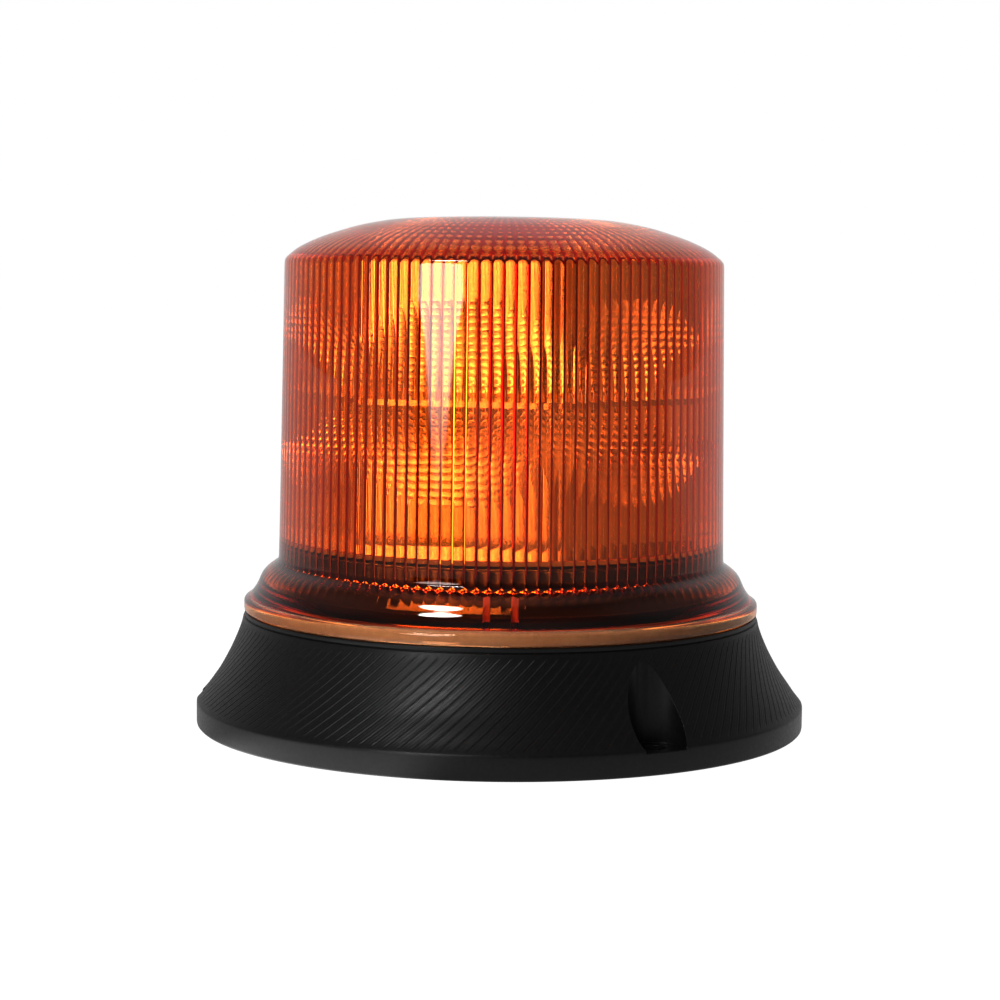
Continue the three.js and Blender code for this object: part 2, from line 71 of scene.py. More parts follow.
# ---------------------------------------------------------------- shared sizes and places
RIM_Z = 33.1  # top of the base's rim
FLANGE_Z = 33.4  # underside of the lens flange
ENGINE_AT = -105.0  # bearing of the reflector's first bowl
BOLT_AT = (-60.0, 60.0, 180.0)
BOLT_R = 82.0
BOSS_R = 83.7
LUG_AT = (-90.0, 30.0, 150.0)
BEAD_R = 66.1  # round beads on the lens skirt, two to a lug
BEAD_ACROSS = 3.7
COVER_SCREW_AT = (-70, 50, 170)
COVER_SCREW_R = 53.4
ENGINE_SCREW_AT = (30, 150, 270)  # measured from ENGINE_AT
ENGINE_SCREW_R = 15.5
BUTTON_R, BUTTON_AT, BUTTON_Z = 46.0, 15.0, 35.6
BREATHER_AT = (-24, -8)
CABLE_Y, CABLE_Z = 34.0, 3.0  # where the cable drops, and the height it leaves at
CABLE_BEND = 5.2


def rad(degrees):
    return degrees * math.pi / 180.0


def at(radius, bearing):
    return (radius * math.cos(rad(bearing)), radius * math.sin(rad(bearing)))


# ---------------------------------------------------------------- mesh helpers
def link(name, verts, faces):
    mesh = bpy.data.meshes.new(name)
    mesh.from_pydata([tuple(map(float, v)) for v in verts], [], faces)
    mesh.update()
    obj = bpy.data.objects.new(name, mesh)
    scene.collection.objects.link(obj)
    return obj


def outward(solid):
    """Flip the faces if they enclose a negative volume."""
    mesh = solid.data
    points = np.empty(len(mesh.vertices) * 3)
    mesh.vertices.foreach_get("co", points)
    points = points.reshape(-1, 3)
    mesh.calc_loop_triangles()
    triangles = np.empty(len(mesh.loop_triangles) * 3, np.int32)
    mesh.loop_triangles.foreach_get("vertices", triangles)
    a, b, c = (points[triangles.reshape(-1, 3)[:, k]] for k in range(3))
    if float(np.einsum("ij,ij->i", a, np.cross(b, c)).sum()) < 0:
        mesh.flip_normals()
    return solid


def circle_angles(cols):
    return np.arange(cols) * 2 * math.pi / cols


def ring_grid(rings):
    """Grid of points from (radius, height, angles) rings; any of them may vary round the ring."""
    grid = np.empty((len(rings), len(rings[0][2]), 3))
    for row, (radius, z, angles) in zip(grid, rings):
        row[:, 0] = radius * np.cos(angles)
        row[:, 1] = radius * np.sin(angles)
        row[:, 2] = z
    return grid


def grid_solid(name, grid, loop):
    """Solid from rows x columns x 3 points, columns running round the axis.

    loop joins the last row to the first; otherwise both end rows shrink to poles.
    """
    rows, cols = grid.shape[:2]
    verts, index = [], []
    for j in range(rows):
        if not loop and j in (0, rows - 1):
            index.append([len(verts)] * cols)
            verts.append(grid[j].mean(0))
        else:
            index.append(list(range(len(verts), len(verts) + cols)))
            verts.extend(grid[j])
    faces = []
    for j in range(rows if loop else rows - 1):
        here, above = index[j], index[(j + 1) % rows]
        for i in range(cols):
            k = (i + 1) % cols
            # a pole appears twice in its quad, so repeats are dropped
            faces.append(list(dict.fromkeys([here[i], here[k], above[k], above[i]])))
    return outward(link(name, verts, faces))


def turn(profile, cols=192, name="tool"):
    """Solid of revolution of (radius, height) points."""
    on_axis = abs(profile[0][0]) < 1e-9 and abs(profile[-1][0]) < 1e-9
    angles = circle_angles(cols)
    return grid_solid(name, ring_grid([(r, z, angles) for r, z in profile]), not on_axis)


def ring(inner, outer, bottom, top, cols=192, edge=0.0):
    """Ring of rectangular section; edge chamfers its corners."""
    if not edge:
        return turn([(inner, bottom), (outer, bottom), (outer, top), (inner, top)], cols)
    return turn([
        (inner + edge, bottom), (outer - edge, bottom), (outer, bottom + edge),
        (outer, top - edge), (outer - edge, top), (inner + edge, top),
        (inner, top - edge), (inner, bottom + edge),
    ], cols)


def prism(points, bottom, top, name="tool"):
    n = len(points)
    verts = [(x, y, z) for z in (bottom, top) for x, y in points]
    faces = [list(range(n))[::-1], [n + i for i in range(n)]]
    faces += [[i, (i + 1) % n, n + (i + 1) % n, n + i] for i in range(n)]
    return outward(link(name, verts, faces))


def box(x0, x1, y0, y1, z0, z1, name="tool"):
    return prism([(x0, y0), (x1, y0), (x1, y1), (x0, y1)], z0, z1, name)


def post(x, y, radius, bottom, top, cols=48):
    circle = [(x + radius * math.cos(t), y + radius * math.sin(t)) for t in circle_angles(cols)]
    return prism(circle, bottom, top)


def move(solid, x=0, y=0, z=0, turned=0.0):
    solid.data.transform(Matrix.Translation((x, y, z)) @ Matrix.Rotation(rad(turned), 4, "Z"))
    return solid


def boolean(solid, tool, operation):
    """Combine the tool into the solid and delete the tool."""
    modifier = solid.modifiers.new("b", "BOOLEAN")
    modifier.object = tool
    modifier.operation = operation
    modifier.solver = "MANIFOLD"
    bpy.context.view_layer.update()
    depsgraph = bpy.context.evaluated_depsgraph_get()
    mesh = bpy.data.meshes.new_from_object(solid.evaluated_get(depsgraph), depsgraph=depsgraph)
    if len(mesh.polygons) == 0:
        raise RuntimeError(f"boolean {operation} emptied {solid.name}")
    solid.modifiers.clear()
    solid.data = mesh
    bpy.data.objects.remove(tool)
    return solid


def cut(solid, *tools):
    for tool in tools:
        boolean(solid, tool, "DIFFERENCE")
    return solid


def join(solid, tool):
    return boolean(solid, tool, "UNION")


def meet(solid, tool):
    return boolean(solid, tool, "INTERSECT")


def arc_piece(inner, outer, bottom, top, bearing, offsets, edge=0.0):
    """The part of a ring lying within a wedge; offsets are the wedge's outer corners."""
    wedge = prism([(0, 0)] + [at(90, bearing + offset) for offset in offsets], 10, 40)
    return meet(ring(inner, outer, bottom, top, 240, edge), wedge)


def copy_of(solid):
    copy = bpy.data.objects.new("tool", solid.data.copy())
    scene.collection.objects.link(copy)
    return copy


def smooth(points, steps):
    """Catmull-Rom curve through the points, with this many steps between each two."""
    p = np.array(points, float)
    curve = [p[0]]
    for i in range(len(p) - 1):
        a, b, c, d = p[max(i - 1, 0)], p[i], p[i + 1], p[min(i + 2, len(p) - 1)]
        for k in range(1, steps + 1):
            t = k / steps
            square = (2 * a - 5 * b + 4 * c - d) * t**2
            cube = (3 * b - a - 3 * c + d) * t**3
            curve.append(0.5 * (2 * b + (c - a) * t + square + cube))
    return [tuple(point) for point in curve]


def sweep(name, path, radius, bore=0.0, cols=24):
    """Round rod along a polyline, with closed ends; bore makes it a tube."""
    p = np.array(path, float)
    tangent = np.gradient(p, axis=0)
    tangent /= np.linalg.norm(tangent, axis=1)[:, None]
    side = np.cross(tangent, (1.0, 0.013, 0.0))
    side /= np.linalg.norm(side, axis=1)[:, None]
    up = np.cross(side, tangent)
    cos = np.cos(circle_angles(cols))[:, None]
    sin = np.sin(circle_angles(cols))[:, None]

    def rings(size):
        return [p[i] + size * (cos * side[i] + sin * up[i]) for i in range(len(p))]

    if bore:
        return grid_solid(name, np.array(rings(radius) + rings(bore)[::-1]), True)
    ends = [np.repeat(p[k][None], cols, 0) for k in (0, -1)]
    return grid_solid(name, np.array([ends[0]] + rings(radius) + [ends[1]]), False)


def finish(solid, body, replaced, material, angle=30.0):
    """Scale to metres, shade, give the piece its material and tie it to its body.

    Edges sharper than angle stay crisp.
    """
    mesh = solid.data
    mesh.transform(Matrix.Scale(0.001, 4))
    mesh.materials.clear()
    mesh.materials.append(MATERIALS[material])
    for polygon in mesh.polygons:
        polygon.use_smooth = True
    mesh.set_sharp_from_angle(angle=rad(angle))
    mesh.update()
    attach(solid, body)
    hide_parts(replaced)


# ---------------------------------------------------------------- shader helper
WHITE = (1, 1, 1, 1)


class Graph:
    """Node tree of a material or world, emptied down to its output node."""

    def __init__(self, owner, output):
        owner.use_nodes = True
        self.tree = owner.node_tree
        self.tree.nodes.clear()
        self.output = self.node(output)
        self.light_path = None

    def plug(self, socket, value):
        if isinstance(value, bpy.types.NodeSocket):
            self.tree.links.new(value, socket)
        else:
            socket.default_value = value

    def node(self, kind, **inputs):
        """New node; inputs are values or sockets, with _ for a space and None left alone."""
        node = self.tree.nodes.new("ShaderNode" + kind)
        for name, value in inputs.items():
            if value is not None:
                self.plug(node.inputs[name.replace("_", " ")], value)
        return node

    def first(self, kind, **inputs):
        """First output of a new node."""
        return self.node(kind, **inputs).outputs[0]

    def surface(self, shader):
        self.plug(self.output.inputs["Surface"], shader)

    def mix(self, fac, shader_0, shader_1):
        node = self.node("MixShader", Fac=fac)
        self.plug(node.inputs[1], shader_0)
        self.plug(node.inputs[2], shader_1)
        return node.outputs[0]

    def ray(self, kind):
        """1 where the ray is of this kind."""
        if self.light_path is None:
            self.light_path = self.node("LightPath")
        return self.light_path.outputs[kind]

    def coords(self, space):
        return self.node("TexCoord").outputs[space]

    def axes(self, vector):
        return tuple(self.node("SeparateXYZ", Vector=vector).outputs)

    def math(self, operation, a, b=0.0, c=0.0):
        node = self.node("Math")
        node.operation = operation
        for socket, value in zip(node.inputs, (a, b, c)):
            self.plug(socket, value)
        return node.outputs[0]

    def add(self, a, b):
        return self.math("ADD", a, b)

    def mul(self, a, b):
        return self.math("MULTIPLY", a, b)

    def pick(self, fac, a, b):
        """a where fac is 0, b where fac is 1."""
        return self.add(self.mul(a, self.math("SUBTRACT", 1.0, fac)), self.mul(b, fac))

    def hypot(self, a, b):
        return self.math("SQRT", self.add(self.mul(a, a), self.mul(b, b)))

    def bearing(self, x, y):
        """Degrees round the lamp: 0 on the camera's side, positive to its right."""
        return self.mul(self.math("ARCTAN2", x, self.mul(y, -1.0)), 180 / math.pi)

    def spread(self, value, to, over=(0.3, 0.7), kind="LINEAR"):
        """Map the range over onto the range to."""
        node = self.node("MapRange", Value=value, From_Min=over[0], From_Max=over[1],
                         To_Min=to[0], To_Max=to[1])
        node.interpolation_type = kind
        return node.outputs[0]

    def step(self, value, over, to=(0.0, 1.0)):
        return self.spread(value, to, over, "SMOOTHSTEP")

    def noise(self, scale, detail=4.0):
        vector = self.first("Mapping", Vector=self.coords("Object"))
        return self.first("TexNoise", Scale=scale, Detail=detail, Roughness=0.55, Vector=vector)

    def ramp(self, fac, dark, light):
        node = self.node("ValToRGB", Fac=fac)
        for stop, place, colour in zip(node.color_ramp.elements, (0.3, 0.7), (dark, light)):
            stop.position = place
            stop.color = (*colour, 1)
        return node.outputs[0]

    def bump(self, height, distance, strength=1.0, after=None):
        return self.first("Bump", Strength=strength, Distance=distance, Height=height,
                          Normal=after)

    def rounded(self, radius):
        """Normals that round the edges off."""
        node = self.node("Bevel", Radius=radius)
        node.samples = 6
        return node.outputs[0]


# ---------------------------------------------------------------- materials
def new_material(name):
    material = bpy.data.materials.new(name)
    return material, Graph(material, "OutputMaterial")


def bead_frost(g):
    """1 on the frosted faces of the round beads beside each lug."""
    x, y, z = g.axes(g.coords("Object"))

    def distance_mm(bearing):
        along_x, along_y = at(1.0, bearing)
        return g.mul(g.add(g.mul(x, along_x), g.mul(y, along_y)), 1000.0)

    frost = 0.0
    for lug in LUG_AT:
        out = distance_mm(lug)
        across = g.math("ABSOLUTE", distance_mm(lug + 90))
        off_bead = g.math("ABSOLUTE", g.math("SUBTRACT", across, BEAD_ACROSS))
        depth = g.mul(g.step(out, over=(63.6, 63.7)),
                      g.step(out, over=(66.45, 66.6), to=(1.0, 0.0)))
        frost = g.add(frost, g.mul(g.step(off_bead, over=(0.93, 1.0), to=(1.0, 0.0)), depth))
    height = g.mul(g.step(z, over=(0.0375, 0.0378)),
                   g.step(z, over=(0.0452, 0.0455), to=(1.0, 0.0)))
    return g.mul(frost, height)


def amber_polycarbonate():
    """Tinted mostly by absorption; shadow rays pass straight through, tinted once."""
    frost_strength = 0.85
    material, g = new_material("amber_polycarbonate")
    glass = g.first(
        "BsdfPrincipled", IOR=1.585, Transmission_Weight=1.0,
        Base_Color=g.ramp(g.noise(scale=60.0, detail=3.0),
                          dark=(1.0, 0.90, 0.80), light=(1.0, 0.95, 0.88)),
        Roughness=g.spread(g.noise(scale=220.0, detail=3.0), to=(0.0, 0.008)),
        Normal=g.bump(g.noise(scale=90.0, detail=2.0), distance=0.00002, strength=0.5))
    haze = g.first("BsdfDiffuse", Color=(0.36, 0.22, 0.5, 1))
    lit = g.mix(g.mul(bead_frost(g), frost_strength), glass, haze)
    clear = g.first("BsdfTransparent", Color=(0.93, 0.42, 0.07, 1))
    g.surface(g.mix(g.ray("Is Shadow Ray"), lit, clear))
    volume = g.first("VolumeAbsorption", Density=1000.0, Color=(0.982, 0.82, 0.61, 1))
    g.plug(g.output.inputs["Volume"], volume)
    return material


def black_moulding():
    """Satin black with a fine grain; a little glossier on the plinth inside the lens."""
    material, g = new_material("black_moulding")
    x, y, _ = g.axes(g.coords("Object"))
    inner = g.step(g.hypot(x, y), over=(0.0700, 0.0704), to=(1.0, 0.0))
    rough = g.spread(g.noise(scale=1400.0, detail=3.0), to=(0.32, 0.44))
    g.surface(g.first(
        "BsdfPrincipled", Specular_IOR_Level=g.pick(inner, a=0.42, b=0.5),
        Base_Color=g.ramp(g.noise(scale=900.0, detail=5.0),
                          dark=(0.0075, 0.0075, 0.0078), light=(0.0125, 0.0125, 0.013)),
        Roughness=g.pick(inner, a=rough, b=0.3),
        Normal=g.bump(g.noise(scale=5200.0, detail=2.0), distance=0.000012,
                      after=g.rounded(radius=0.0004))))
    return material


def metallised_mirror():
    material, g = new_material("metallised_mirror")
    g.surface(g.first(
        "BsdfPrincipled", Metallic=1.0,
        Base_Color=g.ramp(g.noise(scale=120.0, detail=3.0),
                          dark=(0.90, 0.90, 0.91), light=(0.96, 0.96, 0.965)),
        Roughness=g.spread(g.noise(scale=300.0, detail=3.0), to=(0.03, 0.07)),
        Normal=g.bump(g.noise(scale=700.0, detail=2.0), distance=0.000015, strength=0.4)))
    return material


def green_circuit_board():
    """Solder resist with tracks showing through as a slightly lighter pattern."""
    material, g = new_material("green_circuit_board")
    cells = g.node("TexVoronoi", Scale=170.0, Vector=g.coords("Object"))
    cells.distance = "MANHATTAN"
    tracks = g.spread(cells.outputs["Distance"], over=(0.35, 0.42), to=(0.0, 1.0))
    colour = g.node("Mix")
    colour.data_type = "RGBA"
    resist = g.ramp(g.noise(scale=600.0), dark=(0.012, 0.085, 0.035), light=(0.02, 0.12, 0.05))
    g.plug(colour.inputs["Factor"], tracks)
    g.plug(colour.inputs["A"], resist)
    g.plug(colour.inputs["B"], (0.05, 0.2, 0.08, 1))
    g.surface(g.first(
        "BsdfPrincipled", Base_Color=colour.outputs["Result"],
        Roughness=g.spread(g.noise(scale=500.0), to=(0.28, 0.42)),
        Normal=g.bump(tracks, distance=0.00004)))
    return material


def led_phosphor_dome():
    material, g = new_material("led_phosphor_dome")
    g.surface(g.first(
        "BsdfPrincipled", IOR=1.5, Coat_Weight=0.8,
        Base_Color=g.ramp(g.noise(scale=900.0), dark=(0.78, 0.55, 0.12), light=(0.9, 0.72, 0.3)),
        Roughness=g.spread(g.noise(scale=800.0), to=(0.08, 0.2))))
    return material


def plain(name, dark, light, rough, metallic=0.0, scale=400.0, grain=0.00002,
          grain_scale=2500.0, edge=0.0):
    """Moulded or machined finish: colour, roughness and grain all driven by noise."""
    material, g = new_material(name)
    g.surface(g.first(
        "BsdfPrincipled", Metallic=metallic,
        Base_Color=g.ramp(g.noise(scale), dark, light),
        Roughness=g.spread(g.noise(scale * 0.37, detail=3.0), to=rough),
        Normal=g.bump(g.noise(grain_scale, detail=2.0), grain,
                      after=g.rounded(edge) if edge else None)))
    return material


# name: (dark colour, light colour, roughness range, other settings of plain)
PLAIN_FINISHES = {
    "cover_moulding": ((0.012, 0.012, 0.013), (0.02, 0.02, 0.021), (0.42, 0.58),
                       dict(edge=0.0003)),
    "silicone_seal": ((0.15, 0.15, 0.147), (0.19, 0.19, 0.186), (0.5, 0.65), dict(scale=700.0)),
    "gasket_rubber": ((0.012, 0.012, 0.012), (0.022, 0.022, 0.022), (0.7, 0.85),
                      dict(scale=900.0, grain=0.00006, grain_scale=1800.0)),
    "grommet_rubber": ((0.014, 0.014, 0.015), (0.024, 0.024, 0.025), (0.55, 0.7),
                       dict(scale=800.0)),
    "cable_jacket": ((0.012, 0.012, 0.013), (0.02, 0.02, 0.022), (0.4, 0.5), dict(scale=600.0)),
    "red_insulation": ((0.38, 0.012, 0.01), (0.5, 0.02, 0.014), (0.3, 0.4), dict(scale=500.0)),
    "black_insulation": ((0.01, 0.01, 0.01), (0.02, 0.02, 0.02), (0.3, 0.4), dict(scale=500.0)),
    "zinc_plated_steel": ((0.5, 0.5, 0.5), (0.66, 0.66, 0.64), (0.25, 0.42),
                          dict(metallic=1.0, scale=1500.0, grain=0.00001)),
    "turned_aluminium": ((0.62, 0.63, 0.64), (0.74, 0.74, 0.75), (0.25, 0.4),
                         dict(metallic=1.0, scale=900.0)),
    "moulded_package": ((0.012, 0.012, 0.013), (0.024, 0.024, 0.026), (0.35, 0.5),
                        dict(scale=1600.0, edge=0.0002)),
    "capacitor_sleeve": ((0.012, 0.014, 0.024), (0.02, 0.024, 0.04), (0.2, 0.3),
                         dict(scale=500.0)),
    "ferrite_core": ((0.04, 0.04, 0.042), (0.07, 0.07, 0.07), (0.45, 0.6),
                     dict(scale=1800.0, grain=0.00004)),
    "blue_nylon": ((0.03, 0.12, 0.3), (0.045, 0.16, 0.36), (0.35, 0.5), dict(scale=700.0)),
    "button_cap": ((0.6, 0.6, 0.57), (0.7, 0.7, 0.67), (0.35, 0.45), dict(scale=700.0)),
    "cable_tie_nylon": ((0.016, 0.016, 0.017), (0.028, 0.028, 0.03), (0.3, 0.42),
                        dict(scale=800.0)),
    "aluminium_clad_board": ((0.84, 0.84, 0.85), (0.92, 0.92, 0.925), (0.10, 0.18),
                             dict(metallic=1.0, scale=260.0, grain=0.00001)),
}
MATERIALS = {
    "amber_polycarbonate": amber_polycarbonate(),
    "black_moulding": black_moulding(),
    "metallised_mirror": metallised_mirror(),
    "green_circuit_board": green_circuit_board(),
    "led_phosphor_dome": led_phosphor_dome(),
}
for name, (dark, light, rough, settings) in PLAIN_FINISHES.items():
    MATERIALS[name] = plain(name, dark, light, rough, **settings)

CAD_MATERIALS = {
    "lens": "amber_polycarbonate", "base_housing": "black_moulding",
    "reflector_upper": "metallised_mirror", "reflector_lower": "metallised_mirror",
    "lens_seal": "silicone_seal", "mounting_gasket": "gasket_rubber",
    "bay_cover": "cover_moulding", "breather_plug": "cover_moulding",
    "cable_grommet": "grommet_rubber", "supply_cable": "cable_jacket",
    "supply_wire_red": "red_insulation", "supply_wire_black": "black_insulation",
    "cable_tie": "cable_tie_nylon", "driver_board": "green_circuit_board",
    "led_board": "aluminium_clad_board", "inductor": "ferrite_core",
    "capacitor_1": "capacitor_sleeve", "capacitor_2": "capacitor_sleeve",
    "controller_chip": "moulded_package", "power_transistor_1": "moulded_package",
    "power_transistor_2": "moulded_package", "terminal_block": "blue_nylon",
    "pattern_switch": "moulded_package", "pattern_button": "button_cap",
    "heat_column": "turned_aluminium",
}


def cad_material(name):
    if name.startswith("led_lead"):
        return "red_insulation" if name.endswith("red") else "black_insulation"
    if name.startswith(("led_t", "led_bottom")):
        return "led_phosphor_dome"
    if "_screw_" in name:
        return "zinc_plated_steel"
    return CAD_MATERIALS[name]


for name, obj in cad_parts.items():
    material = MATERIALS[cad_material(name)]
    if len(obj.material_slots) == 0:
        obj.data.materials.append(material)
    else:
        for slot in obj.material_slots:
            slot.material = material

# ---------------------------------------------------------------- lens
RIBS, PER_RIB = 120, 10
WALL_IN = 61.2  # inner radius of the wall's valleys, at its foot
SKIRT_IN = 66.5
RIB_H = 0.74
TOOTH_DROP = 2.6  # how much lower a rib's crest ends than its valleys
DOME_RIB = 0.55  # share of the rib height carried over the dome
DOME_RING = 0.05  # height of the moulded rings inside the dome
DOME_RING_PITCH = 3.2
DOME_RING_R = 58.8


def rib_heights():
    """Circular-arc ribs: 0 in the valleys, RIB_H at the crests."""
    across = (np.arange(RIBS * PER_RIB) % PER_RIB) / PER_RIB * 2 - 1  # -1..1 over a rib
    half = math.pi * WALL_IN / RIBS
    arc = (half**2 + RIB_H**2) / (2 * RIB_H)
    return np.maximum(np.sqrt(arc * arc - (across * half) ** 2) - (arc - RIB_H), 0)


def lens_outside():
    """(radius, height) from the top of the dome down to the foot and up inside the skirt."""
    outline = smooth([
        (0.0, LENS_TOP), (10, LENS_TOP - 0.07), (21.0, LENS_TOP - 0.35), (31.8, LENS_TOP - 1.0),
        (41.1, LENS_TOP - 2.6), (47.5, LENS_TOP - 4.4), (52.8, LENS_TOP - 6.2),
        (56.7, LENS_TOP - 7.9), (59.8, LENS_TOP - 9.6), (62.1, 136.1),
    ], 4)
    outline += [  # shoulder, wall and the start of the flare
        (62.85, 135.4), (63.28, 134.8), (63.44, 134.2), (63.5, 133.6),
        (63.83, 113.0), (64.17, 92.0), (64.52, 70.0), (64.8, 53.5),
        (64.88, 50.2), (64.91, 49.0), (64.97, 48.5), (65.1, 48.05), (65.3, 47.65),
    ]
    outline += smooth([
        (65.62, 47.3), (66.2, 46.85), (67.2, 46.15), (68.4, 45.2), (69.5, 44.0),
        (70.3, 42.5), (70.95, 41.0), (71.8, 39.5), (73.0, 37.9),
    ], 3)
    outline += [
        (73.7, 37.2), (74.3, 36.9), (74.65, 36.65), (FLANGE_R - 0.04, 36.3), (FLANGE_R, 35.8),
        (FLANGE_R, 34.2), (FLANGE_R - 0.08, 33.7), (FLANGE_R - 0.35, FLANGE_Z),
    ]
    outline += [  # underside: lip, seal channel, skirt
        (73.6, FLANGE_Z), (73.4, FLANGE_Z + 0.2), (73.4, 37.0), (73.1, 37.3), (70.8, 37.3),
        (70.5, 37.0), (70.5, FLANGE_Z + 0.2), (70.3, FLANGE_Z), (69.4, FLANGE_Z),
        (69.4, LENS_FOOT + 0.4), (69.0, LENS_FOOT), (66.9, LENS_FOOT),
        (SKIRT_IN, LENS_FOOT + 0.4), (SKIRT_IN, 35.0),
    ]
    return outline


def lens_inside(rib):
    """(radius, height) rings from the skirt up to the middle of the dome."""
    rings = []
    # the flare meets the wall lower on each crest, so every rib ends in a rounded tooth
    flare = [(SKIRT_IN, 39.4), (66.1, 41.0), (65.2, 42.6), (64.0, 43.9), (62.8, 44.9),
             (61.8, 45.8), (WALL_IN, 46.9)]
    for k, (radius, z) in enumerate(flare):
        share = k / (len(flare) - 1)
        depth = rib * max(0.0, (share - 0.6) / 0.4) ** 0.8
        rings.append((radius - depth, z - TOOTH_DROP * rib / RIB_H * share**3))
    for z in (56.0, 95.0, 131.0):
        rings.append((WALL_IN - (z - 49.0) / 86.0 - rib, z))

    dome = np.array(smooth([
        (60.2, 133.7), (59.2, 134.5), (57.2, 135.8), (53.4, 137.9), (47.2, 140.1),
        (36, 142.6), (24, 144.0), (12, 144.5), (0, 144.6),
    ], 12))

    def dome_height(radius):
        return np.interp(-radius, -dome[:, 0], dome[:, 1])

    wall = WALL_IN - 1.0 - rib
    rings.append((wall, dome_height(wall)))
    # the ribs fade towards the dome's middle, over fine moulded rings
    radius = DOME_RING_R
    while radius > 0.6:
        fade = min(1.0, max(0.0, (radius - 8.0) / 26.0))
        wave = DOME_RING * math.sin(2 * math.pi * radius / DOME_RING_PITCH)
        wave *= min(1.0, max(0.0, (DOME_RING_R - radius) / 1.5))
        rings.append((radius, dome_height(radius) - rib * DOME_RIB * fade + wave))
        radius -= 0.4 if radius > 10 else 0.8
    rings.append((0.0, dome[-1, 1]))
    return rings


def build_lens():
    angles = circle_angles(RIBS * PER_RIB)
    rings = [(r, z, angles) for r, z in lens_outside() + lens_inside(rib_heights())]
    lens = grid_solid("lens_shell", ring_grid(rings), False)
    for bearing in LUG_AT:
        join(lens, arc_piece(inner=60.9, outer=67.0, bottom=23.4, top=26.4, bearing=bearing,
                             offsets=(-10, -5, 0, 5, 10), edge=0.3))
        for side in (-1, 1):
            bead = post(BEAD_R, side * BEAD_ACROSS, radius=0.95, bottom=31.0, top=45.3, cols=40)
            join(lens, move(bead, turned=bearing))
    return lens


finish(build_lens(), "lens", "lens", "amber_polycarbonate", angle=28.0)

# ---------------------------------------------------------------- base housing
GROUPS, PER_GROUP = 150, 9  # each group has one deep and two shallow grooves
HELIX = 0.0134  # radians the grooves turn per millimetre of height
SKIRT_BOTTOM, SKIRT_TOP = 7.3, 31.3
# flared skirt: (radius, height)
BASE_SKIRT = smooth([
    (88.35, SKIRT_BOTTOM), (86.8, 9.2), (84.7, 12.2), (82.1, 15.9), (80.15, 19.2),
    (78.4, 22.5), (76.75, 26.2), (75.65, 29.2), (75.15, SKIRT_TOP),
], 4)
# the other parts of the section, in order round it: (radius, height)
BASE_FOOT = [(85.0, 0.3), (88.1, 0.3), (88.5, 0.7), (88.6, 1.2), (88.6, 6.3), (88.58, 6.8),
             (88.5, 7.1)]
BASE_TOP = [  # rim, trough and plinth, and the ceiling and wall beneath them
    (75.05, 31.55), (74.5, 31.6), (74.45, 31.75), (74.65, 31.9), (74.7, 32.1), (74.7, 32.9),
    (74.5, RIM_Z), (70.5, RIM_Z), (70.2, 32.8), (70.2, 21.4), (69.8, 21.0), (60.4, 21.0),
    (60.0, 21.4), (60.0, PLINTH_Z - 0.9), (59.75, PLINTH_Z - 0.3), (59.2, PLINTH_Z),
    (4.5, PLINTH_Z), (4.5, 49.5), (57.2, 49.5), (57.2, 9.5),
]
BASE_UNDERSIDE = [
    (60.2, 9.5), (60.2, 18.5), (73.6, 18.5), (73.6, 1.7), (75.6, 1.7), (75.6, 14.0),
    (79.6, 14.0), (83.4, 7.4), (83.4, 1.7), (85.0, 1.7),
]


def build_base_shell():
    angles = circle_angles(GROUPS * PER_GROUP)
    column = np.arange(GROUPS * PER_GROUP) % PER_GROUP
    groove = np.where(column == 0, 0.13, np.where(column % 3 == 0, 0.055, 0.0))
    rings = [(r, z, angles) for r, z in BASE_FOOT]
    for j, (r, z) in enumerate(BASE_SKIRT):
        # grooves fade out at both ends of the skirt
        fade = min(1.0, max(0.0, (j - 1) / 1.5), max(0.0, (len(BASE_SKIRT) - 2 - j) / 1.5))
        rings.append((r - groove * fade * 0.88, z - groove * fade * 0.48,
                      angles + HELIX * (z - SKIRT_BOTTOM)))
    twist = HELIX * (SKIRT_TOP - SKIRT_BOTTOM)
    rings += [(r, z, angles + twist) for r, z in BASE_TOP]
    # the underside unwinds the columns back to the foot
    last = len(BASE_UNDERSIDE) - 1
    for j, (r, z) in enumerate(BASE_UNDERSIDE):
        rings.append((r, z, angles + twist * (last - j) / last))
    return grid_solid("base_shell", ring_grid(rings), True)


def add_bolt_bosses(base):
    envelope = [(0, 1.7), (88.2, 1.7), (88.2, 7.0)]
    envelope += [(r - 0.25, z) for r, z in BASE_SKIRT] + [(0, SKIRT_TOP)]
    for bearing in BOLT_AT:
        boss = post(*at(BOSS_R, bearing), radius=10.4, bottom=1.7, top=30.1, cols=64)
        meet(boss, turn(envelope))
        join(base, cut(boss, ring(inner=50.0, outer=71.2, bottom=18.6, top=60.0)))
    for bearing in BOLT_AT:
        cut(base, post(*at(BOSS_R, bearing), radius=7.9, bottom=6.4, top=60, cols=96),
            post(*at(BOLT_R, bearing), radius=3.3, bottom=-5, top=20, cols=64))


def add_lug_hooks(base):
    """Hooks in the trough for the lens lugs, each with a stop below its clockwise end."""
    for bearing in LUG_AT:
        join(base, arc_piece(inner=59.2, outer=64.6, bottom=27, top=29.5, bearing=bearing,
                             offsets=(-11, -5, 0, 5, 11), edge=0.25))
        join(base, arc_piece(inner=59.2, outer=64.6, bottom=20.6, top=27.4, bearing=bearing,
                             offsets=(-14.5, -12.5, -11)))


